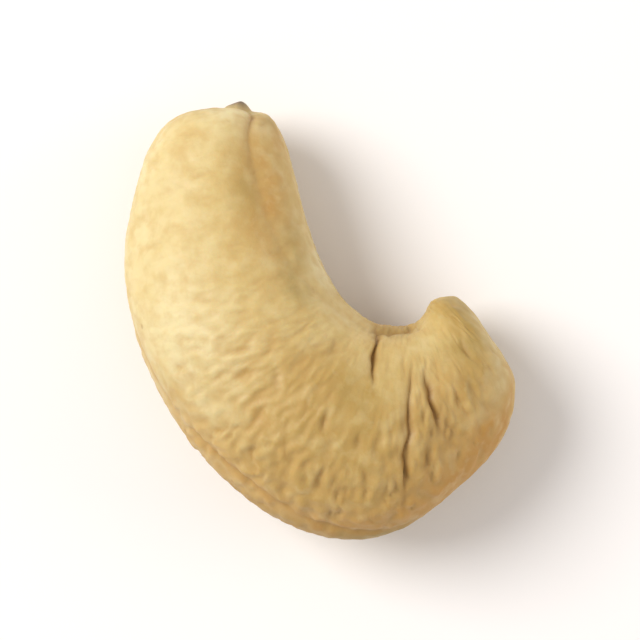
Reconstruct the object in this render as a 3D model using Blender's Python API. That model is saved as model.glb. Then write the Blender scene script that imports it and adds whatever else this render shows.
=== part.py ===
"""Cashew kernel, shelled and whole, lying on its side.

Two seed halves grown together: the seam between them runs round the outer and the inner edge at about
half height, and the root tip shows as a small point at the end of the long arm. One solid.
X and Y follow the curve of the kidney, Z is its thickness, and it rests on a small flat spot at Z = 0.
Metres, +Z up.
"""
import math

import bmesh
import bpy
from mathutils import Vector

MM = 0.001
NAME = "cashew_kernel"

# Sections from the long arm's tip to the short arm's tip, in mm:
# outer edge x, y, inner edge x, y, half the thickness there, and the height of its middle.
SECTIONS = [
    (-4.4, 11.1, -4.4, 11.1, 0.0, 4.2),
    (-6.1, 10.9, -3.0, 10.8, 1.9, 4.2),
    (-7.6, 10.3, -2.3, 10.1, 3.0, 4.2),
    (-8.7, 8.9, -1.7, 8.7, 3.8, 4.2),
    (-9.5, 6.5, -1.1, 6.7, 4.4, 4.3),
    (-10.0, 3.7, -0.5, 4.4, 4.75, 4.65),
    (-9.8, 0.7, 0.2, 2.5, 4.95, 5.02),
    (-8.85, -2.55, 1.0, 1.1, 5.1, 5.1),
    (-6.65, -6.25, 2.0, 0.2, 5.2, 5.05),
    (-3.5, -9.3, 2.8, -0.2, 5.2, 5.2),
    (0.2, -11.1, 3.5, -0.3, 5.0, 5.0),
    (3.9, -10.9, 4.1, -0.3, 4.75, 4.75),
    (7.0, -8.7, 4.7, -0.1, 4.4, 4.25),
    (9.35, -6.25, 5.2, 0.3, 3.9, 4.0),
    (10.0, -3.1, 5.5, 0.75, 3.3, 3.9),
    (8.6, -0.7, 5.8, 1.05, 2.6, 3.9),
    (7.8, 0.45, 6.1, 1.2, 1.7, 3.9),
    (6.9, 1.2, 6.9, 1.2, 0.0, 3.9),
]
LAST = len(SECTIONS) - 1

RINGS_PER_SECTION = 6
COLUMNS = 48
TIP_CROWDING = 0.04        # how far the rings gather towards the two tips
SEAM_CROWDING = 0.35       # how far the columns gather towards the seam, where the relief is finest
EGG = 0.06                 # how much thicker a section is towards its outer edge
SQUARENESS = 0.03          # how far a section's shoulders fill out beyond an ellipse

OUTER_SEAM_DEPTH = 0.22
INNER_SEAM_DEPTH = 0.26
SEAM_WIDTH = 0.32
SEAM_HOLLOW = 0.13         # the wide soft hollow that the seam runs in
SEAM_HOLLOW_WIDTH = 1.3
SEAM_STARTS = ((0.3, 1.5), (1.0, 4.5))    # mm from the long and the short arm's tip over which it sets in

# Where the seam climbs above half height: the angle in radians, the section, and its spread in sections.
OUTER_SEAM_RISE = (0.50, 9.0, 2.4)
INNER_SEAM_RISE = (0.80, 3.4, 3.2)
INNER_SEAM_LIFT = 0.25     # radians by which the inner seam is higher than that all along

# Folds across the body, mostly in the bend: section, its spread in sections, the angle round the body,
# its spread in radians, how far the fold leans in sections a radian, and its depth in mm.
FOLDS = [
    (9.62, 0.20, 2.52, 0.42, -0.75, 0.42),
    (11.93, 0.18, 1.67, 0.38, -0.07, 0.30),
    (11.16, 0.17, 1.52, 0.62, 0.15, 0.24),
    (8.3, 0.35, 2.25, 0.40, 0.20, 0.14),
    (13.1, 0.30, 1.30, 0.40, -0.10, 0.14),
    (9.2, 0.25, 3.95, 0.45, 0.10, 0.36),
    (10.6, 0.20, 4.10, 0.50, -0.05, 0.32),
    (11.6, 0.22, 4.05, 0.40, 0.12, 0.27),
    (7.6, 0.40, 4.05, 0.45, 0.20, 0.18),
]

ROOT_TIP_HEIGHT = 0.20
ROOT_TIP_RADIUS = 0.55
ROOT_NOTCH_DEPTH = 0.20
ROOT_NOTCH_RADIUS = 0.95
ROOT_NOTCH_SPREAD = 0.34

REST_LEVEL = 0.13          # height above the lowest point at which the underside is cut level


def loop_of(first, back):
    """Values along the outer edge from tip to tip, and back along the inner edge to the start."""
    return first + back[-2:0:-1]


OUTLINE = loop_of([Vector(row[0:2]) for row in SECTIONS], [Vector(row[2:4]) for row in SECTIONS])
HALF_THICKNESS = loop_of([row[4] for row in SECTIONS], [-row[4] for row in SECTIONS])
MIDDLE_HEIGHT = loop_of([row[5] for row in SECTIONS], [row[5] for row in SECTIONS])


def on_loop(values, place):
    """Value at a place between the numbered ones of a closed loop, on a smooth curve through them."""
    count = len(values)
    index = math.floor(place)
    part = place - index
    before, here, after, later = (values[(index + step) % count] for step in (-1, 0, 1, 2))
    slope_here = (after - before) * 0.5
    slope_after = (later - here) * 0.5
    rise = after - here
    curve = 3.0 * rise - 2.0 * slope_here - slope_after
    twist = slope_here + slope_after - 2.0 * rise
    return here + (slope_here + (curve + twist * part) * part) * part


def bump(distance, spread):
    """Smooth bump, 1 at no distance and nearly 0 beyond twice the spread."""
    return math.exp(-(distance / spread) ** 2)


def seam_rise(rise, section):
    """Angle by which a seam climbs at a section."""
    angle, at, spread = rise
    return angle * bump(section - at, spread)


def eased(value, low, high):
    """Rises smoothly from 0 at the low value to 1 at the high one."""
    part = max(0.0, min(1.0, (value - low) / (high - low)))
    return part * part * (3.0 - 2.0 * part)


def outer_seam(section):
    """Angle of the seam on the outer edge."""
    return seam_rise(OUTER_SEAM_RISE, section)


def inner_seam(section):
    """Angle of the seam on the inner edge."""
    return math.pi - INNER_SEAM_LIFT - seam_rise(INNER_SEAM_RISE, section)


def body_point(section, angle):
    """Point of the smooth body in mm; the angle is 0 at the outer edge and a quarter turn on top."""
    outer = on_loop(OUTLINE, section)
    inner = on_loop(OUTLINE, -section)
    middle = (outer + inner) * 0.5
    shoulder = 1.0 + SQUARENESS * (1.0 - math.cos(4.0 * angle)) * 0.5
    across = (outer - inner) * 0.5 * math.cos(angle) * shoulder
    fullness = 1.0 + EGG * math.cos(angle)
    up = on_loop(HALF_THICKNESS, section) * math.sin(angle) * shoulder * fullness
    return Vector((middle.x + across.x, middle.y + across.y, on_loop(MIDDLE_HEIGHT, section) + up))


def seam_relief(section, angle):
    """Depth of the seam in mm at a place: a narrow groove in a soft hollow, along both edges."""
    outer_turn = math.remainder(angle - outer_seam(section), math.tau)
    inner_turn = math.remainder(angle - inner_seam(section), math.tau)
    width = (on_loop(OUTLINE, section) - on_loop(OUTLINE, -section)).length
    radius = width * 0.25 + abs(on_loop(HALF_THICKNESS, section)) * 0.5
    depth = 0.0
    for turn, groove in ((outer_turn, OUTER_SEAM_DEPTH), (inner_turn, INNER_SEAM_DEPTH)):
        off = turn * radius
        depth = max(depth, groove * bump(off, SEAM_WIDTH) + SEAM_HOLLOW * bump(off, SEAM_HOLLOW_WIDTH))
    point = body_point(section, angle)
    for tip, start in zip((0, LAST), SEAM_STARTS):
        depth *= eased((point - body_point(tip, 0.0)).length, *start)
    return depth


def root_relief(section, angle):
    """Depth in mm round the root tip: a low point that stands in a shallow ring."""
    from_tip = (body_point(section, angle) - body_point(0.0, 0.0)).length
    notch = ROOT_NOTCH_DEPTH * bump(from_tip - ROOT_NOTCH_RADIUS, ROOT_NOTCH_SPREAD)
    return notch - ROOT_TIP_HEIGHT * bump(from_tip, ROOT_TIP_RADIUS)


def relief(section, angle):
    """Depth in mm by which the surface lies below the smooth body at a place."""
    depth = seam_relief(section, angle) + root_relief(section, angle)
    for at, spread, at_angle, angle_spread, lean, fold_depth in FOLDS:
        turn = math.remainder(angle - at_angle, math.tau)
        depth += fold_depth * bump(section - at - lean * turn, spread) * bump(turn, angle_spread)
    return depth


def clear_scene():
    for old in list(bpy.data.objects):
        bpy.data.objects.remove(old, do_unlink=True)


def kernel_material():
    """Raw cashew: dense, starchy and oily, ivory, with a soft sheen and no gloss."""
    material = bpy.data.materials.new("raw cashew, ivory")
    material.use_nodes = True
    shader = material.node_tree.nodes["Principled BSDF"]
    shader.inputs["Base Color"].default_value = (0.62, 0.47, 0.20, 1.0)
    shader.inputs["Roughness"].default_value = 0.62
    shader.inputs["Metallic"].default_value = 0.0
    return material


def kernel_mesh():
    """A sphere drawn out along the sections: its poles are the two tips, its rings the sections."""
    bm = bmesh.new()
    bmesh.ops.create_uvsphere(bm, u_segments=COLUMNS, v_segments=LAST * RINGS_PER_SECTION, radius=1.0)
    places = {}
    for vert in bm.verts:
        along = math.acos(max(-1.0, min(1.0, vert.co.z))) / math.pi
        section = LAST * (along - TIP_CROWDING * math.sin(math.tau * along))
        turn = math.atan2(vert.co.y, vert.co.x) if 0.0 < along < 1.0 else 0.0
        angle = turn - SEAM_CROWDING * math.sin(2.0 * turn)
        angle += outer_seam(section) * (1.0 + math.cos(turn)) * 0.5
        angle += (inner_seam(section) - math.pi) * (1.0 - math.cos(turn)) * 0.5
        places[vert] = (section, angle)
    for vert, (section, angle) in places.items():
        vert.co = body_point(section, angle)
    bmesh.ops.recalc_face_normals(bm, faces=bm.faces)
    bm.normal_update()
    depths = {vert: relief(section, angle) for vert, (section, angle) in places.items()}
    for vert, depth in depths.items():
        vert.co -= vert.normal * depth
    settle(bm)
    mesh = bpy.data.meshes.new(NAME)
    bm.to_mesh(mesh)
    bm.free()
    mesh.shade_smooth()
    return mesh


def settle(bm):
    """Cuts the underside level for the flat spot, and puts the middle of the footprint at the origin."""
    floor = min(vert.co.z for vert in bm.verts) + REST_LEVEL
    xs = [vert.co.x for vert in bm.verts]
    ys = [vert.co.y for vert in bm.verts]
    middle = Vector(((min(xs) + max(xs)) * 0.5, (min(ys) + max(ys)) * 0.5, floor))
    for vert in bm.verts:
        vert.co.z = max(vert.co.z, floor)
        vert.co = (vert.co - middle) * MM


def build():
    clear_scene()
    collection = bpy.data.collections.new("cashew nut")
    bpy.context.scene.collection.children.link(collection)
    kernel = bpy.data.objects.new(NAME, kernel_mesh())
    kernel.data.materials.append(kernel_material())
    collection.objects.link(kernel)


build()
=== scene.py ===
"""Looks of a raw cashew kernel lying on its side on a near-white surface, seen from straight above."""
import math
import random

import bmesh
import bpy
import numpy as np
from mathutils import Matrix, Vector, noise


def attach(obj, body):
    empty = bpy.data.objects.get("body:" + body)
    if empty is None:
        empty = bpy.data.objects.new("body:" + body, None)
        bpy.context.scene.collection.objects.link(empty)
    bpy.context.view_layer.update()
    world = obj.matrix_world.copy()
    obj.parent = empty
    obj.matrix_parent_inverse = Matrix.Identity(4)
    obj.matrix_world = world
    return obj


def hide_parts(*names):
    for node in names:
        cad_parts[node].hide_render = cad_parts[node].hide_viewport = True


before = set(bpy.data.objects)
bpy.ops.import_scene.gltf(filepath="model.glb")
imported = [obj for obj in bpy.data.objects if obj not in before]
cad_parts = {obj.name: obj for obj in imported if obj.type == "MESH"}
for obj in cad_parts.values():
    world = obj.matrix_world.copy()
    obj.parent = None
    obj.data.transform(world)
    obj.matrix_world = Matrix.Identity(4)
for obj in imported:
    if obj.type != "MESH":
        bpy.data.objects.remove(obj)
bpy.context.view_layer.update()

MM = 0.001
NODE = "cashew_kernel"
PIECE = "raw_cashew_kernel"

# Sections from the long arm's tip to the short arm's tip, in mm:
# outer edge x, y, inner edge x, y, half the thickness there, and the height of its middle.
SECTIONS = np.array([
    (-4.4, 11.1, -4.4, 11.1, 0.0, 4.2),
    (-6.1, 10.9, -3.0, 10.8, 1.9, 4.2),
    (-7.6, 10.3, -2.3, 10.1, 3.0, 4.2),
    (-8.7, 8.9, -1.7, 8.7, 3.8, 4.2),
    (-9.5, 6.5, -1.1, 6.7, 4.4, 4.3),
    (-10.0, 3.7, -0.5, 4.4, 4.75, 4.65),
    (-9.8, 0.7, 0.2, 2.5, 4.95, 5.02),
    (-8.85, -2.55, 1.0, 1.1, 5.1, 5.1),
    (-6.65, -6.25, 2.0, 0.2, 5.2, 5.05),
    (-3.5, -9.3, 2.8, -0.2, 5.2, 5.2),
    (0.2, -11.1, 3.5, -0.3, 5.0, 5.0),
    (3.9, -10.9, 4.1, -0.3, 4.75, 4.75),
    (7.0, -8.7, 4.7, -0.1, 4.4, 4.25),
    (9.35, -6.25, 5.2, 0.3, 3.9, 4.0),
    (10.0, -3.1, 5.5, 0.75, 3.3, 3.9),
    (8.6, -0.7, 5.8, 1.05, 2.6, 3.9),
    (7.8, 0.45, 6.1, 1.2, 1.7, 3.9),
    (6.9, 1.2, 6.9, 1.2, 0.0, 3.9),
])
LAST = len(SECTIONS) - 1

RINGS = 30
RING_POINTS = 12
RING_SWELL = 1.047         # a ring of twelve points shrinks by as much when it is smoothed
FIRST_RING = 0.24          # sections between a tip and the ring next to it
TIP_CROWDING = 0.55        # how much closer than elsewhere the rings lie at the tips
LONG_TIP_PUSH = 1.15       # how far the middle of an end is drawn out, as a share of the way to the tip
SHORT_TIP_PUSH = 1.15
SMOOTH_LEVELS = 4

REST_LEVEL = 0.13          # height above the lowest point at which the underside is level

# Where a point lies along the body is read from its nearest section line.
TIP_MARGIN = 0.02          # sections that are left out at each tip, where the lines shrink to a point
LINES = 1400
AT_ONCE = 4000             # points that are measured at a time, to save memory
REACH = (1.08, 0.15)       # a line reaches a point up to that share of its half width, and so many mm more
OUT_OF_REACH = 10.0        # how much more each mm beyond that counts
LEAST_THICKNESS = 0.05
LEAST_STRETCH = 0.4        # mm of surface a section, where the sections close up at the tips
STRETCH_STEP = 0.05        # sections ahead and behind over which the stretch is measured

# The seam between the two halves: a narrow groove in a soft hollow, all in mm.
OUTER_SEAM_DEPTH = 0.20
INNER_SEAM_DEPTH = 0.19
SEAM_WIDTH = 0.32
SEAM_HOLLOW = 0.14
SEAM_HOLLOW_WIDTH = 1.3
SEAM_WANDER = 0.16
SEAM_UNEVEN = (0.8, 0.45)  # the seam's usual strength, and how far that rises and falls
SEAM_STARTS = ((0.5, 1.5), (1.0, 4.5))    # mm from the long and the short arm's tip over which it sets in
# Where the seam climbs above half height: the angle in radians, the section, and its spread in sections.
OUTER_SEAM_RISE = (0.50, 9.0, 2.4)
INNER_SEAM_RISE = (0.80, 3.4, 3.2)
INNER_SEAM_LIFT = 0.25     # radians by which the inner seam is higher than that all along
INNER_SEAM_OPEN = (1.6, 1.7)   # section about which the inner seam is open, and its spread
SEAM_CLOSED = 0.25         # share of its depth that is left where it is closed

# How sharp the bottom of a groove is.
GROOVE_SHARPNESS = 2.2
# Random values: how far one set lies from the next, and what brings them to about -1 and 1.
GRAIN_SHIFT = 17.3
GRAIN_GAIN = 1.6

# Creases on the upper side, in mm: the points that each runs through, its half width and its depth.
CREASES = [
    ([(2.90, -0.35), (2.78, -1.60), (2.62, -3.05)], 0.14, 0.36),
    ([(5.22, -2.50), (5.45, -3.80), (6.05, -5.50)], 0.18, 0.34),
    ([(4.50, -2.30), (4.36, -3.80), (4.52, -5.60), (4.20, -6.60), (4.26, -7.80), (4.14, -9.20)], 0.17, 0.30),
    ([(1.79, -5.50), (1.82, -6.40)], 0.20, 0.16),
    ([(-3.10, -5.80), (-3.55, -6.80)], 0.20, 0.13),
    ([(-1.78, -5.90), (-1.76, -7.00)], 0.18, 0.12),
    ([(-2.05, -7.10), (-2.75, -8.20)], 0.20, 0.13),
    ([(-0.50, -3.70), (-0.95, -4.90)], 0.18, 0.10),
    ([(0.24, -4.20), (0.16, -5.80)], 0.18, 0.09),
    ([(2.90, -5.70), (2.80, -6.80)], 0.18, 0.10),
    ([(0.80, -7.90), (0.35, -8.80)], 0.20, 0.13),
    ([(1.50, -8.30), (0.90, -9.30)], 0.20, 0.13),
    ([(0.05, -7.50), (-0.30, -8.30)], 0.18, 0.10),
    ([(-2.20, -2.30), (-2.18, -3.60)], 0.18, 0.08),
    ([(7.00, -0.90), (7.50, -1.90)], 0.20, 0.12),
    ([(6.20, -4.00), (6.60, -5.60), (6.50, -6.60)], 0.20, 0.14),
    ([(5.30, -6.20), (5.45, -7.60)], 0.20, 0.14),
    ([(2.20, -7.40), (2.10, -8.40)], 0.18, 0.11),
    ([(3.30, -7.60), (3.20, -8.90)], 0.18, 0.12),
    ([(2.60, -0.32), (3.40, -0.47), (4.20, -0.47), (4.90, -0.20)], 0.18, 0.18),
]
CREASE_WANDER = 0.10
CREASE_END = 0.25          # share of its depth that a crease has at its ends

# Folds elsewhere round the body: section, the angle round the body and its spread in radians,
# how far the fold leans in sections a radian, its half width and its depth in mm.
FOLDS = [
    (9.62, 2.50, 0.40, -0.70, 0.60, 0.07),
    (11.10, 1.60, 0.40, 0.05, 0.60, 0.10),
    (11.90, 1.60, 0.40, -0.12, 0.60, 0.12),
    (8.30, 2.25, 0.40, 0.20, 0.60, 0.10),
    (13.10, 1.30, 0.40, -0.10, 0.45, 0.12),
    (9.20, 3.95, 0.45, 0.10, 0.45, 0.36),
    (10.60, 4.10, 0.50, -0.05, 0.42, 0.32),
    (11.60, 4.05, 0.40, 0.12, 0.40, 0.27),
    (7.60, 4.05, 0.45, 0.20, 0.60, 0.18),
]

FOLD_WANDER = 0.16

# Where the skin is wrinkled: section and its spread, the angle round the body
# and its spread in radians, and the strength.
WRINKLED = [
    (8.4, 1.0, 0.58, 0.36, 1.00),
    (9.4, 0.9, 0.74, 0.36, 1.00),
    (10.3, 0.8, 0.95, 0.40, 0.90),
    (11.3, 0.8, 1.10, 0.65, 0.90),
    (12.4, 0.8, 1.20, 0.60, 0.65),
    (13.7, 0.9, 1.40, 0.60, 0.30),
    (8.9, 0.9, 1.25, 0.35, 0.70),
    (7.3, 1.1, 1.50, 0.60, 0.48),
    (8.3, 0.9, 1.90, 0.40, 0.40),
    (9.5, 2.6, -0.60, 0.70, 0.60),
    (10.0, 2.4, 4.20, 0.80, 0.70),
]
WRINKLED_ELSEWHERE = 0.12
# Short wrinkles across the body: least and greatest values, in mm.
WRINKLE_LENGTH = (0.4, 1.4)
WRINKLE_HALF_WIDTH = (0.12, 0.19)
WRINKLE_DEPTH = (0.03, 0.16)
WRINKLE_BEND = 0.08        # how far a wrinkle strays from a straight line, in mm
WRINKLE_LEAN = 0.50        # and how far it leans, in radians
WRINKLE_GAP = 0.46         # from one to the next, in mm
WRINKLE_SHARE = 0.55       # share of the places that have one where the skin is wrinkled most
WRINKLE_SEED = 5
WRINKLE_SCATTER = (0.25, 0.07)  # sections and radians by which it strays from its place
WRINKLE_REACH = (1.2, 0.6)      # sections and radians beyond which a wrinkle isn't worked out
# Small puckers between them, and finer lines.
PUCKER_SPACING = 0.30
PUCKER_LENGTH = 0.75
PUCKER_DEPTH = 0.10
PUCKER_BEND = 0.22
LINE_SPACING = 0.24
LINE_LENGTH = 1.0
LINE_DEPTH = 0.034
LINE_SHARPNESS = 2.6
LINE_ELSEWHERE = 0.25      # share of the lines' depth that smooth skin has
OPEN_STRETCH = 2.2         # mm of surface a section where puckers and lines reach their full depth
FURROW_SPACING = 1.3       # faint furrows along the body
FURROW_LENGTH = 8.0
FURROW_DEPTH = 0.035
SWELL_SIZE = 4.5           # broad unevenness of the whole kernel
SWELL_DEPTH = 0.10
SKIN_SIZE = 0.5
SKIN_DEPTH = 0.020

# The root tip, at the end of the long arm where both seams meet: a nib in a shallow ring, all in mm.
ROOT = (-4.20, 11.00, 4.3)
ROOT_TIP_HEIGHT = 0.20
ROOT_TIP_RADIUS = 0.55
ROOT_NOTCH_DEPTH = 0.20
ROOT_NOTCH_RADIUS = 0.95
ROOT_NOTCH_SPREAD = 0.34
ROOT_STAIN = 1.1           # how far its dark colour reaches, as a share of its radius

# Depths in mm at which a crease and a fold have their full brown, a painted shade that darkens the hollow.
FULLY_SHADED_CREASE = 0.3
FULLY_SHADED_FOLD = 0.5

# Where the flesh is tinted, in the same terms as where it is wrinkled. The tints mix the flesh's own tone
# with painted shade, and the paler one with painted highlight and reflected light.
# Tan flesh, mixed with painted shade on the lower and right-hand sides, the inner edges and the underside.
TAN_AND_PAINTED_SHADE = [
    (4.6, 1.4, 2.22, 0.38, 0.42),
    (3.2, 1.5, 2.40, 0.45, 0.28),
    (2.4, 0.8, 2.90, 0.35, 0.30),
    (12.3, 1.0, 0.66, 0.40, 1.20),
    (11.3, 0.9, 0.50, 0.36, 1.10),
    (10.4, 1.0, 0.50, 0.30, 0.85),
    (9.4, 2.8, 0.05, 0.34, 0.95),
    (13.4, 0.9, 0.50, 0.22, 0.60),
    (12.6, 0.5, 1.75, 0.30, 0.35),
    (8.5, 0.9, 0.60, 0.20, 0.35),
    (10.5, 2.0, 3.30, 0.60, 0.60),
    (4.0, 3.0, 4.60, 0.80, 0.35),
    (11.5, 2.5, 4.50, 0.80, 0.45),
]
# Darker flesh, mixed with painted shade over the bend, the short arm and the underside.
DARKER_AND_PAINTED_SHADE = [
    (9.8, 1.4, 1.60, 0.60, 0.85),
    (11.6, 0.9, 1.30, 0.60, 0.80),
    (8.6, 1.2, 1.75, 0.50, 0.75),
    (8.9, 0.9, 1.10, 0.30, 0.60),
    (9.9, 1.2, 0.80, 0.40, 1.00),
    (12.9, 0.8, 1.50, 0.45, 0.70),
    (14.6, 1.4, 1.90, 0.90, 0.90),
    (7.8, 0.6, 0.45, 0.25, 0.50),
    (3.4, 1.8, 2.05, 0.35, 0.20),
    (4.9, 1.2, 1.95, 0.35, 0.15),
    (6.5, 2.5, 4.20, 0.80, 0.60),
    (12.5, 2.0, 5.20, 0.70, 0.50),
]
# Olive patches of the flesh; the entries for the bottom edge and the inner edge of the bend paint shade.
OLIVE_AND_PAINTED_SHADE = [
    (6.2, 0.60, 2.33, 0.18, 0.50),
    (5.3, 0.60, 2.50, 0.18, 0.35),
    (4.3, 0.50, 1.98, 0.14, 0.20),
    (15.0, 1.3, 1.90, 0.90, 0.60),
    (16.4, 0.8, 1.60, 1.20, 0.60),
    (13.2, 0.8, 1.85, 0.40, 0.30),
    (3.8, 0.6, 1.95, 0.20, 0.25),
    (1.0, 0.5, 2.50, 0.40, 0.25),
    (2.0, 0.5, 2.80, 0.25, 0.35),
    (1.2, 0.6, 0.90, 0.40, 0.20),
    (9.3, 1.2, 1.90, 0.45, 0.30),
    # These two paint shade along the bottom edge.
    (10.8, 0.8, 0.22, 0.20, 0.60),
    (9.7, 1.4, 0.12, 0.20, 0.50),
    # Painted shade along the inner edge of the bend.
    (10.3, 1.4, 2.95, 0.22, 0.80),
]
# Paler flesh, mixed with painted highlight on the lit left flank and painted reflected light on the
# right-hand edges.
PALE_AND_PAINTED_LIGHT = [
    (5.2, 2.6, 0.80, 0.60, 0.45),
    (6.0, 2.4, 0.12, 0.30, 0.90),
    (3.4, 1.0, 0.30, 0.40, 0.50),
    (7.1, 1.0, 1.00, 0.45, 0.80),
    (8.2, 1.2, 0.28, 0.22, 0.80),
    (5.9, 0.9, 2.85, 0.20, 0.90),
    (1.8, 0.9, 1.85, 0.60, 1.20),
    (13.9, 0.9, 1.02, 0.30, 1.20),
    (12.9, 0.4, 0.95, 0.18, 0.50),
    (10.9, 0.3, 1.60, 0.25, 0.50),
]


def around_loop(first, back):
    """Values along the outer edge from tip to tip, and back along the inner edge to the start."""
    return np.concatenate([first, back[-2:0:-1]])


OUTLINE = around_loop(SECTIONS[:, 0:2], SECTIONS[:, 2:4])
HALF_THICKNESS = around_loop(SECTIONS[:, 4], -SECTIONS[:, 4])
MIDDLE_HEIGHT = around_loop(SECTIONS[:, 5], SECTIONS[:, 5])


def on_loop(values, place):
    """Values at places between the numbered ones of a closed loop, on a smooth curve through them."""
    index = np.floor(place).astype(int)
    part = place - index
    if values.ndim > 1:
        part = part[..., None]
    before, here, after, later = (values[(index + step) % len(values)] for step in (-1, 0, 1, 2))
    slope_here = (after - before) * 0.5
    slope_after = (later - here) * 0.5
    rise = after - here
    curve = 3.0 * rise - 2.0 * slope_here - slope_after
    twist = slope_here + slope_after - 2.0 * rise
    return here + (slope_here + (curve + twist * part) * part) * part


def section_lines(places):
    """Middle, direction and half width of the sections at those places, and their thickness and height."""
    outer = on_loop(OUTLINE, places)
    inner = on_loop(OUTLINE, -places)
    middle = (outer + inner) * 0.5
    across = (outer - inner) * 0.5
    half_width = np.linalg.norm(across, axis=-1)
    half_thickness = on_loop(HALF_THICKNESS, places)
    return middle, across / half_width[..., None], half_width, half_thickness, on_loop(MIDDLE_HEIGHT, places)


def lines_near(places):
    """The section lines at those places, or next to a tip for places at or beyond it."""
    return section_lines(np.clip(places, TIP_MARGIN, LAST - TIP_MARGIN))


def ring_places():
    """Places of the cage's rings along the middle of the body, closer together towards the tips."""
    fine = np.linspace(FIRST_RING, LAST - FIRST_RING, 600)
    middle = section_lines(fine)[0]
    run = np.concatenate([[0.0], np.cumsum(np.linalg.norm(np.diff(middle, axis=0), axis=1))])
    share = np.linspace(0.0, 1.0, RINGS)
    share -= TIP_CROWDING * np.sin(math.tau * share) / math.tau
    return np.interp(run[-1] * share, run, fine)


def select_only(mesh_object, wanted):
    """In edit mode, selects just the points whose numbers are wanted."""
    bpy.ops.mesh.select_all(action="DESELECT")
    bm = bmesh.from_edit_mesh(mesh_object.data)
    bm.verts.index_update()
    for vert in bm.verts:
        if vert.index in wanted:
            vert.select_set(True)
    bm.select_flush(True)
    bmesh.update_edit_mesh(mesh_object.data)


def add_ring(middle, direction, half_width, half_thickness, height):
    """Adds one upright ring of the cage, the size of the body there."""
    bpy.ops.mesh.select_all(action="DESELECT")
    bpy.ops.mesh.primitive_circle_add(
        vertices=RING_POINTS, radius=MM, location=(0, 0, 0), rotation=(math.pi / 2, 0, 0)
    )
    size = (half_width * RING_SWELL, 1.0, half_thickness * RING_SWELL)
    bpy.ops.transform.resize(value=size, center_override=(0, 0, 0))
    turn = math.atan2(direction[1], direction[0])
    bpy.ops.transform.rotate(value=-turn, orient_axis="Z", center_override=(0, 0, 0))
    bpy.ops.transform.translate(value=(middle[0] * MM, middle[1] * MM, height * MM))


def close_end(body, ring_number, row, share):
    """Fills the ring at one end with a grid and draws the grid's middle out to the tip."""
    bpy.ops.mesh.select_mode(type="VERT")
    first = ring_number * RING_POINTS
    select_only(body, set(range(first, first + RING_POINTS)))
    bpy.ops.mesh.select_mode(type="EDGE")
    bpy.ops.mesh.fill_grid(span=RING_POINTS // 4)
    bpy.ops.mesh.select_mode(type="VERT")
    bm = bmesh.from_edit_mesh(body.data)
    bm.verts.index_update()
    ring = range(first, first + RING_POINTS)
    inner_points = [vert for vert in bm.verts if vert.select and vert.index not in ring]
    numbers = {vert.index for vert in inner_points}
    centre = sum((vert.co for vert in inner_points), Vector()) / len(inner_points)
    select_only(body, numbers)
    tip = Vector((SECTIONS[row, 0], SECTIONS[row, 1], SECTIONS[row, 5])) * MM
    push = (tip - centre) * share
    bpy.ops.transform.translate(value=push)


def smooth_body():
    """The kernel's body without its relief: rings bridged into a tube, closed at both tips, and smoothed."""
    bpy.ops.object.select_all(action="DESELECT")
    bpy.ops.mesh.primitive_circle_add(vertices=3, radius=MM)
    body = bpy.context.object
    body.name = PIECE
    bpy.ops.object.mode_set(mode="EDIT")
    bpy.ops.mesh.select_all(action="SELECT")
    bpy.ops.mesh.delete(type="VERT")
    places = ring_places()
    for middle, direction, half_width, half_thickness, height in zip(*section_lines(places)):
        add_ring(middle, direction, half_width, half_thickness, height)
    bpy.ops.mesh.select_all(action="SELECT")
    bpy.ops.mesh.bridge_edge_loops()
    close_end(body, 0, 0, LONG_TIP_PUSH)
    close_end(body, RINGS - 1, LAST, SHORT_TIP_PUSH)
    bpy.ops.mesh.select_all(action="SELECT")
    bpy.ops.mesh.normals_make_consistent(inside=False)
    bpy.ops.object.mode_set(mode="OBJECT")
    smoothing = body.modifiers.new("smooth", "SUBSURF")
    smoothing.levels = SMOOTH_LEVELS
    smoothing.render_levels = SMOOTH_LEVELS
    bpy.ops.object.modifier_apply(modifier=smoothing.name)
    bpy.ops.object.shade_smooth()
    return body


def points_of(mesh):
    """The mesh's points in mm."""
    flat = np.empty(len(mesh.vertices) * 3)
    mesh.vertices.foreach_get("co", flat)
    return flat.reshape(-1, 3) / MM


def set_points(mesh, points):
    mesh.vertices.foreach_set("co", (points * MM).ravel())
    mesh.update()


def settle(mesh):
    """Levels the underside and brings the middle of the footprint to the origin, as on the solid."""
    points = points_of(mesh)
    floor = points[:, 2].min() + REST_LEVEL
    middle = (points.min(axis=0) + points.max(axis=0)) * 0.5
    points[:, 2] = np.maximum(points[:, 2], floor)
    points -= (middle[0], middle[1], floor)
    set_points(mesh, points)


def body_places(points):
    """Section number and angle of each point: the angle is 0 at the outer edge and a quarter turn on top."""
    places = np.linspace(TIP_MARGIN, LAST - TIP_MARGIN, LINES)
    middle, direction, half_width, half_thickness, height = section_lines(places)
    normal = np.stack([-direction[:, 1], direction[:, 0]], axis=1)
    sections = np.empty(len(points))
    share, margin = REACH
    for start in range(0, len(points), AT_ONCE):
        part = points[start:start + AT_ONCE, None, 0:2] - middle[None]
        off = np.abs((part * normal).sum(axis=2))
        along = np.abs((part * direction).sum(axis=2))
        off += OUT_OF_REACH * np.maximum(along - half_width * share - margin, 0.0)
        sections[start:start + AT_ONCE] = places[off.argmin(axis=1)]
    middle, direction, half_width, half_thickness, height = section_lines(sections)
    across = ((points[:, 0:2] - middle) * direction).sum(axis=1) / half_width
    up = (points[:, 2] - height) / np.maximum(half_thickness, LEAST_THICKNESS)
    return sections, np.arctan2(up, across)


def bump(distance, spread):
    """Smooth bump, 1 at no distance and nearly 0 beyond twice the spread."""
    return np.exp(-(distance / spread) ** 2)


def groove(distance, half_width):
    """A narrow groove with a sharp bottom and round lips, 1 at no distance."""
    sharp = np.exp(-np.abs(distance) / half_width * GROOVE_SHARPNESS)
    return 0.5 * bump(distance, half_width) + 0.5 * sharp


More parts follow.
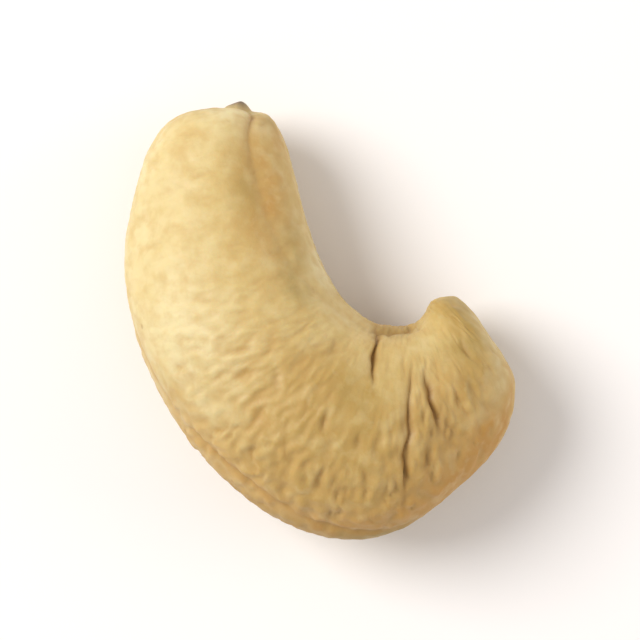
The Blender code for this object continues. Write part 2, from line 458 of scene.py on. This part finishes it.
def turned(angle):
    """An angle brought between minus and plus half a turn."""
    return (angle + math.pi) % math.tau - math.pi


def grain(places, size, seed):
    """Smooth random values between about -1 and 1 at places in mm.

    Their features have that size in mm, or one size along the body, one across it and one in height.
    """
    scaled = places / np.asarray(size) + seed * GRAIN_SHIFT
    return np.array([noise.noise(place) for place in scaled.tolist()]) * GRAIN_GAIN


def eased(value, low, high):
    """Rises smoothly from 0 at the low value to 1 at the high one."""
    part = np.clip((value - low) / (high - low), 0.0, 1.0)
    return part * part * (3.0 - 2.0 * part)


def between(limits, share):
    return limits[0] + (limits[1] - limits[0]) * share


def rise_of(rise, section):
    angle, at, spread = rise
    return angle * bump(section - at, spread)


class Body:
    """The kernel's points measured along and round its body, before any relief."""

    def __init__(self, points):
        self.points = points
        self.section, self.angle = body_places(points)
        middle, direction, half_width, half_thickness, height = section_lines(self.section)
        self.radius = (half_width + half_thickness) * 0.5
        self.height = height
        fine = np.linspace(0.0, LAST, 1500)
        line = lines_near(fine)[0]
        run = np.concatenate([[0.0], np.cumsum(np.linalg.norm(np.diff(line, axis=0), axis=1))])
        along = np.interp(self.section, fine, run)
        across = ((points[:, 0:2] - middle) * direction).sum(axis=1)
        self.straight = np.stack([along, across, points[:, 2] - height], axis=1)
        ahead = lines_near(self.section + STRETCH_STEP)
        behind = lines_near(self.section - STRETCH_STEP)
        step = (ahead[0] - behind[0]) + (ahead[1] - behind[1]) * across[:, None]
        # The limit keeps the tips, where sections close up, from counting as near to folds far away.
        self.stretch = np.maximum(np.linalg.norm(step, axis=1) / (2.0 * STRETCH_STEP), LEAST_STRETCH)


def away_from(body, place):
    """How far each point is from a place, in mm."""
    return np.linalg.norm(body.points - np.array(place), axis=1)


def past_tip(body, row, start):
    """Rises from 0 at the tip at that row of the sections to 1 further on."""
    return eased(away_from(body, SECTIONS[row, [0, 1, 5]]), *start)


def seam_depth(body):
    """The groove between the halves, and the hollow that it lies in."""
    wander = grain(body.straight, 3.0, 1) * SEAM_WANDER
    lift = rise_of(INNER_SEAM_RISE, body.section) + INNER_SEAM_LIFT
    outer = turned(body.angle - rise_of(OUTER_SEAM_RISE, body.section)) * body.radius + wander
    inner = turned(body.angle - math.pi + lift) * body.radius + wander
    at, spread = INNER_SEAM_OPEN
    opened = SEAM_CLOSED + (1.0 - SEAM_CLOSED) * bump(body.section - at, spread)
    grooves = OUTER_SEAM_DEPTH * groove(outer, SEAM_WIDTH)
    grooves += INNER_SEAM_DEPTH * opened * groove(inner, SEAM_WIDTH)
    usual, uneven = SEAM_UNEVEN
    grooves *= np.clip(usual + uneven * grain(body.straight, 2.2, 2), 0.3, 1.3)
    hollows = SEAM_HOLLOW * (bump(outer, SEAM_HOLLOW_WIDTH) + bump(inner, SEAM_HOLLOW_WIDTH))
    past_long = past_tip(body, 0, SEAM_STARTS[0])
    past_short = past_tip(body, LAST, SEAM_STARTS[1])
    return grooves * past_long * past_short, hollows * past_short


def crease_depth(body):
    """The listed creases, as grooves along their lines on the upper side."""
    total = np.zeros(len(body.section))
    wander = np.stack([grain(body.straight, 0.9, seed) for seed in (11, 12)], axis=1)
    plan = body.points[:, 0:2] + wander * CREASE_WANDER
    upper = eased(body.points[:, 2] - body.height, -0.6, 0.6)
    for line, half_width, depth in CREASES:
        points = np.array(line)
        length = np.concatenate([[0.0], np.cumsum(np.linalg.norm(np.diff(points, axis=0), axis=1))])
        nearest = np.full(len(plan), np.inf)
        place = np.zeros(len(plan))
        for number in range(len(points) - 1):
            step = points[number + 1] - points[number]
            part = np.clip(((plan - points[number]) @ step) / (step @ step), 0.0, 1.0)
            away = np.linalg.norm(plan - points[number] - part[:, None] * step, axis=1)
            closer = away < nearest
            nearest = np.where(closer, away, nearest)
            place = np.where(closer, length[number] + part * (length[number + 1] - length[number]), place)
        along = place / length[-1]
        tapered = np.clip(4.0 * along * (1.0 - along), 0.0, 1.0) * (1.0 - CREASE_END) + CREASE_END
        total += depth * tapered * groove(nearest, half_width)
    return total * upper


def fold_depth(body):
    """Folds round the rest of the body."""
    total = np.zeros(len(body.section))
    wander = grain(body.straight, 1.6, 3) * FOLD_WANDER
    for section, angle, spread, lean, half_width, depth in FOLDS:
        turn = turned(body.angle - angle)
        off = (body.section - section - lean * turn) * body.stretch + wander
        total += depth * bump(turn, spread) * groove(off, half_width)
    return total


def strength_at(places, section, angle):
    """Sum of the listed places' strengths at a section and an angle."""
    total = 0.0
    for at, spread, at_angle, angle_spread, strength in places:
        total = total + strength * bump(section - at, spread) * bump(turned(angle - at_angle), angle_spread)
    return total


def wrinkled_at(section, angle):
    return np.clip(WRINKLED_ELSEWHERE + strength_at(WRINKLED, section, angle), 0.0, 1.0)


def wrinkle_places():
    """Where the short wrinkles lie, as sections and angles that are evenly spread over the surface."""
    places = []
    section = 1.0
    while section < LAST - 1.0:
        half_width, half_thickness = section_lines(np.array([section]))[2:4]
        round_step = WRINKLE_GAP * 2.0 / (half_width[0] + half_thickness[0])
        for number in range(int(math.tau / round_step)):
            places.append((section, number * round_step - math.pi))
        section += WRINKLE_GAP * 0.5
    return places


def wrinkle_depth(body):
    """Short wrinkles across the body, sharp at the bottom, no two alike."""
    total = np.zeros(len(body.section))
    wander = grain(body.straight, 0.6, 4) * WRINKLE_BEND
    draw = random.Random(WRINKLE_SEED)
    for section, angle in wrinkle_places():
        section += draw.uniform(-WRINKLE_SCATTER[0], WRINKLE_SCATTER[0])
        angle += draw.uniform(-WRINKLE_SCATTER[1], WRINKLE_SCATTER[1])
        lean = draw.uniform(-WRINKLE_LEAN, WRINKLE_LEAN)
        chance, size, depth_share = draw.random(), draw.random(), draw.random()
        strength = wrinkled_at(section, angle)
        if chance > WRINKLE_SHARE * strength:
            continue
        along_reach = np.abs(body.section - section) < WRINKLE_REACH[0]
        round_reach = np.abs(turned(body.angle - angle)) < WRINKLE_REACH[1]
        near = np.flatnonzero(along_reach & round_reach)
        along_body = (body.section[near] - section) * body.stretch[near]
        round_body = turned(body.angle[near] - angle) * body.radius[near]
        off = along_body * math.cos(lean) - round_body * math.sin(lean) + wander[near]
        along = along_body * math.sin(lean) + round_body * math.cos(lean)
        half_length = 0.5 * between(WRINKLE_LENGTH, size)
        half_width = between(WRINKLE_HALF_WIDTH, size)
        depth = between(WRINKLE_DEPTH, depth_share * strength)
        total[near] += depth * groove(off, half_width) * bump(along, half_length)
    return total


def pucker_depth(body):
    """Small puckers and fine lines across the body, where the skin is wrinkled."""
    bent = body.straight.copy()
    bent[:, 0] += grain(body.straight, 0.9, 5) * PUCKER_BEND
    puckers = grain(bent, (PUCKER_SPACING, PUCKER_LENGTH, PUCKER_LENGTH), 6)
    lines = grain(bent, (LINE_SPACING * 2.0, LINE_LENGTH, LINE_LENGTH), 7)
    valleys = np.clip(1.0 - np.abs(lines) * LINE_SHARPNESS, 0.0, 1.0)
    opened = np.clip(body.stretch / OPEN_STRETCH, 0.0, 1.0) ** 1.5
    strength = wrinkled_at(body.section, body.angle)
    line_strength = LINE_ELSEWHERE + (1.0 - LINE_ELSEWHERE) * strength
    return (PUCKER_DEPTH * puckers * strength + LINE_DEPTH * valleys * line_strength) * opened


def surface_depth(body):
    """Furrows along the body, and the broad unevenness of something that grew."""
    furrows = FURROW_DEPTH * grain(body.straight, (FURROW_LENGTH, FURROW_SPACING, FURROW_SPACING), 8)
    swell = SWELL_DEPTH * grain(body.straight, SWELL_SIZE, 9)
    skin = SKIN_DEPTH * grain(body.straight, SKIN_SIZE, 10)
    return furrows + swell + skin


def root_depth(body):
    """The root tip: a nib that stands in a shallow ring."""
    away = away_from(body, ROOT)
    notch = ROOT_NOTCH_DEPTH * bump(away - ROOT_NOTCH_RADIUS, ROOT_NOTCH_SPREAD)
    return notch - (ROOT_TIP_HEIGHT + SEAM_HOLLOW) * bump(away, ROOT_TIP_RADIUS)


def tint(body, places, seed):
    """Strength of a tint at each point, with ragged and cloudy borders."""
    ragged = 0.40 * grain(body.straight, 1.5, seed)
    ragged += 0.35 * grain(body.straight, 0.6, seed + 5)
    return np.clip(strength_at(places, body.section, body.angle) * (1.0 + ragged), 0.0, 1.0)


def normals_of(mesh):
    flat = np.empty(len(mesh.vertices) * 3, dtype=np.float32)
    mesh.vertex_normals.foreach_get("vector", flat)
    return flat.reshape(-1, 3).astype(float)


def keep_values(mesh, name, values):
    """Stores a value or a vector at each point, for the materials to read."""
    kind = "FLOAT_VECTOR" if values.ndim > 1 else "FLOAT"
    layer = mesh.attributes.new(name, kind, "POINT")
    layer.data.foreach_set("vector" if values.ndim > 1 else "value", values.astype(np.float32).ravel())


def carve(mesh):
    """Presses the relief into the smooth body, and marks its hollows and tints: painted shade in the seam,
    creases, folds and wrinkles, and tints that are partly the flesh's own tone and partly painted light and
    shade.
    """
    body = Body(points_of(mesh))
    grooves, hollows = seam_depth(body)
    creases = crease_depth(body)
    folds = fold_depth(body)
    wrinkles = wrinkle_depth(body)
    puckers = pucker_depth(body)
    depth = grooves + hollows + creases + folds + wrinkles + puckers
    depth = depth + surface_depth(body) + root_depth(body)
    set_points(mesh, body.points - normals_of(mesh) * depth[:, None])
    keep_values(mesh, "straight", body.straight * MM)
    # The seam's groove is marked by its depth, for painted shade in the groove.
    keep_values(mesh, "seam", np.clip(grooves / INNER_SEAM_DEPTH, 0.0, 1.0))
    # Creases and folds are marked by their depth, for a brown painted shade in them.
    crease_shade = creases / FULLY_SHADED_CREASE + folds / FULLY_SHADED_FOLD
    keep_values(mesh, "crease", np.clip(crease_shade, 0.0, 1.0))
    # Wrinkles and puckers are marked by their depth, for painted shade in them.
    wrinkled = wrinkles / WRINKLE_DEPTH[1] + puckers / PUCKER_DEPTH * 0.5
    keep_values(mesh, "wrinkle", np.clip(wrinkled, 0.0, 1.0))
    keep_values(mesh, "wrinkled", wrinkled_at(body.section, body.angle))
    # These tints are partly the flesh's own tone and partly painted shade and painted light, placed where the
    # lists above say.
    keep_values(mesh, "tan_and_painted_shade", tint(body, TAN_AND_PAINTED_SHADE, 13))
    keep_values(mesh, "darker_and_painted_shade", tint(body, DARKER_AND_PAINTED_SHADE, 16))
    keep_values(mesh, "olive_and_painted_shade", tint(body, OLIVE_AND_PAINTED_SHADE, 14))
    keep_values(mesh, "pale_and_painted_light", tint(body, PALE_AND_PAINTED_LIGHT, 15))
    keep_values(mesh, "root", bump(away_from(body, ROOT), ROOT_TIP_RADIUS * ROOT_STAIN))


def linear(code):
    """A hex sRGB colour as the linear colour that the shaders take."""
    channels = [int(code[i:i + 2], 16) / 255.0 for i in (1, 3, 5)]
    return tuple(c / 12.92 if c <= 0.04045 else ((c + 0.055) / 1.055) ** 2.4 for c in channels) + (1.0,)


def add(tree, kind, values=(), links=(), **settings):
    """Adds a node: settings are its own, values its sockets' numbers, and links what feeds its sockets."""
    made = tree.nodes.new(kind)
    for name, value in settings.items():
        setattr(made, name, value)
    for socket, value in dict(values).items():
        made.inputs[socket].default_value = value
    for socket, source in dict(links).items():
        tree.links.new(source, made.inputs[socket])
    return made


def per_metre(size):
    """The texture scale that gives features of a size in mm."""
    return 1.0 / (size * MM)


def raw_cashew():
    """Raw cashew flesh, peeled and dried: dense, starchy and a little oily.

    It looks matt ivory, with light that goes a little way in, and a tan that is partly its own and partly
    painted shade. Its creases, folds, wrinkles and seam are darkened brown as painted shade, and paler
    patches paint highlight and reflected light.
    """
    material = bpy.data.materials.new("raw_cashew_flesh")
    material.use_nodes = True
    tree = material.node_tree
    shader = tree.nodes["Principled BSDF"]
    place = add(tree, "ShaderNodeTexCoord").outputs["Object"]
    marks = {}
    for name in ("seam", "crease", "wrinkle", "wrinkled", "tan_and_painted_shade", "darker_and_painted_shade", "olive_and_painted_shade", "pale_and_painted_light", "root"):
        marks[name] = add(tree, "ShaderNodeAttribute", attribute_name=name).outputs["Fac"]
    straight = add(tree, "ShaderNodeAttribute", attribute_name="straight").outputs["Vector"]

    # Cloudy unevenness of the flesh, finer mottling, and the grain of the starch.
    cloudy = add(tree, "ShaderNodeTexNoise", {"Scale": per_metre(2.6), "Detail": 3.0}, {"Vector": place})
    mottled = add(tree, "ShaderNodeTexNoise", {"Scale": per_metre(0.8), "Detail": 4.0}, {"Vector": place})
    starch = add(tree, "ShaderNodeTexNoise", {"Scale": per_metre(0.16), "Detail": 2.0}, {"Vector": place})
    # Fine wrinkles across the body that are too small for the mesh.
    drawn_out = add(tree, "ShaderNodeVectorMath", {1: (1.0, 0.22, 0.22)}, {0: straight}, operation="MULTIPLY")
    lined = add(
        tree, "ShaderNodeTexNoise", {"Scale": per_metre(0.28), "Detail": 3.0, "Distortion": 0.6},
        {"Vector": drawn_out.outputs[0]},
    )
    line_mask = add(
        tree, "ShaderNodeMath", {}, {0: lined.outputs["Fac"], 1: marks["wrinkled"]}, operation="MULTIPLY",
    ).outputs[0]
    # Soft streaks along the body.
    drawn_along = add(
        tree, "ShaderNodeVectorMath", {1: (0.16, 1.0, 1.0)}, {0: straight}, operation="MULTIPLY",
    )
    streaked = add(
        tree, "ShaderNodeTexNoise", {"Scale": per_metre(1.5), "Detail": 3.0, "Distortion": 0.4},
        {"Vector": drawn_along.outputs[0]},
    )
    # Small brown specks, where bits of the skin stayed on.
    speckled = add(
        tree, "ShaderNodeTexVoronoi", {"Scale": per_metre(2.3), "Randomness": 1.0}, {"Vector": place},
    )
    speck = add(
        tree, "ShaderNodeMapRange", {"From Min": 0.075, "From Max": 0.03, "To Min": 0.0, "To Max": 0.40},
        {"Value": speckled.outputs["Distance"]},
    )

    masks = {
        "cloudy": (cloudy.outputs["Fac"], 0.42, 0.62, 0.55),
        "mottled": (mottled.outputs["Fac"], 0.47, 0.70, 0.40),
        "flecked": (mottled.outputs["Fac"], 0.50, 0.30, 0.30),
        "lined": (line_mask, 0.10, 0.60, 0.30),
        "streaked": (streaked.outputs["Fac"], 0.42, 0.64, 0.45),
    }
    shaped = {}
    for name, (source, low, high, strength) in masks.items():
        shaped[name] = add(
            tree, "ShaderNodeMapRange",
            {"From Min": low, "From Max": high, "To Min": 0.0, "To Max": strength}, {"Value": source},
        ).outputs["Result"]

    # Laid over the ivory one after the other, each where its mask is.
    colour = None
    layers = [
        (shaped["cloudy"], "#D6C186"),
        (shaped["streaked"], "#C7AE6C"),
        # Painted highlight on the lit left flank and painted reflected light on the right-hand edges, mixed
        # with paler flesh.
        (marks["pale_and_painted_light"], "#DBCC9B"),
        # Darker flesh, with painted shade over the bend, the short arm and the underside.
        (marks["darker_and_painted_shade"], "#B69652"),
        # Tan flesh, with painted shade on the lower and right-hand sides, the outer bottom edge and the
        # underside.
        (marks["tan_and_painted_shade"], "#BC8B3F"),
        (shaped["mottled"], "#BF9C5C"),
        (shaped["flecked"], "#DBC995"),
        # Olive patches of the flesh, with painted shade along the bottom edge and the inner edge of the bend.
        (marks["olive_and_painted_shade"], "#9C8242"),
        # Painted shade in the wrinkles.
        (marks["wrinkle"], "#B99453"),
        (shaped["lined"], "#C0A064"),
        # Painted shade in the seam's groove.
        (marks["seam"], "#B38C4E"),
        # Brown painted shade in the creases and folds.
        (marks["crease"], "#966D32"),
        (speck.outputs["Result"], "#8F6632"),
        (marks["root"], "#54403A"),
    ]
    for mask, code in layers:
        laid = add(
            tree, "ShaderNodeMix", {6: linear("#CEB67A"), 7: linear(code)}, {0: mask}, data_type="RGBA",
        )
        if colour is not None:
            tree.links.new(colour, laid.inputs[6])
        colour = laid.outputs[2]
    tree.links.new(colour, shader.inputs["Base Color"])

    rough = add(
        tree, "ShaderNodeMapRange", {"From Min": 0.3, "From Max": 0.7, "To Min": 0.50, "To Max": 0.66},
        {"Value": mottled.outputs["Fac"]},
    )
    tree.links.new(rough.outputs["Result"], shader.inputs["Roughness"])
    lines = add(
        tree, "ShaderNodeBump", {"Strength": 0.3, "Distance": 0.05 * MM}, {"Height": line_mask},
    )
    grains = add(
        tree, "ShaderNodeBump", {"Strength": 0.5, "Distance": 0.03 * MM},
        {"Height": starch.outputs["Fac"], "Normal": lines.outputs["Normal"]},
    )
    tree.links.new(grains.outputs["Normal"], shader.inputs["Normal"])
    shader.inputs["IOR"].default_value = 1.46
    shader.inputs["Subsurface Weight"].default_value = 0.25
    shader.inputs["Subsurface Radius"].default_value = (1.0, 0.55, 0.25)
    shader.inputs["Subsurface Scale"].default_value = 0.8 * MM
    return material


def pale_floor():
    bpy.ops.mesh.primitive_plane_add(size=1.2, location=(0.0, 0.0, 0.0))
    floor = bpy.context.object
    floor.name = "floor"
    material = bpy.data.materials.new("pale_matt_card")
    material.use_nodes = True
    shader = material.node_tree.nodes["Principled BSDF"]
    shader.inputs["Base Color"].default_value = linear("#F1EFEE")
    shader.inputs["Roughness"].default_value = 0.9
    floor.data.materials.append(material)
    return floor


def light(name, place, aim, size, power, tone):
    data = bpy.data.lights.new(name, "AREA")
    data.shape = "DISK"
    data.size = size
    data.energy = power
    data.color = linear(tone)[0:3]
    lamp = bpy.data.objects.new(name, data)
    lamp.location = place
    lamp.rotation_euler = (Vector(aim) - Vector(place)).to_track_quat("-Z", "Y").to_euler()
    bpy.context.scene.collection.objects.link(lamp)


def studio():
    world = bpy.data.worlds.new("soft_white_room")
    bpy.context.scene.world = world
    world.use_nodes = True
    back = world.node_tree.nodes["Background"]
    back.inputs["Color"].default_value = linear("#FBF7F6")
    back.inputs["Strength"].default_value = 0.60
    light("window", (-0.24, 0.10, 0.29), (0.0, 0.0, 0.0), 0.22, 1.28, "#FFFDFA")
    light("white_card", (0.26, 0.03, 0.12), (0.0, 0.0, 0.005), 0.20, 0.17, "#FFF6EA")
    bpy.context.scene.view_settings.view_transform = "Standard"


def camera():
    data = bpy.data.cameras.new("camera")
    data.lens = 200.0
    data.clip_start = 0.01
    data.dof.use_dof = False
    eye = bpy.data.objects.new("camera", data)
    eye.location = (0.0, 0.0, 0.185)
    bpy.context.scene.collection.objects.link(eye)
    bpy.context.scene.camera = eye


kernel = smooth_body()
carve(kernel.data)
settle(kernel.data)
kernel.data.materials.append(raw_cashew())
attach(kernel, "root")
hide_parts(NODE)
pale_floor()
studio()
camera()
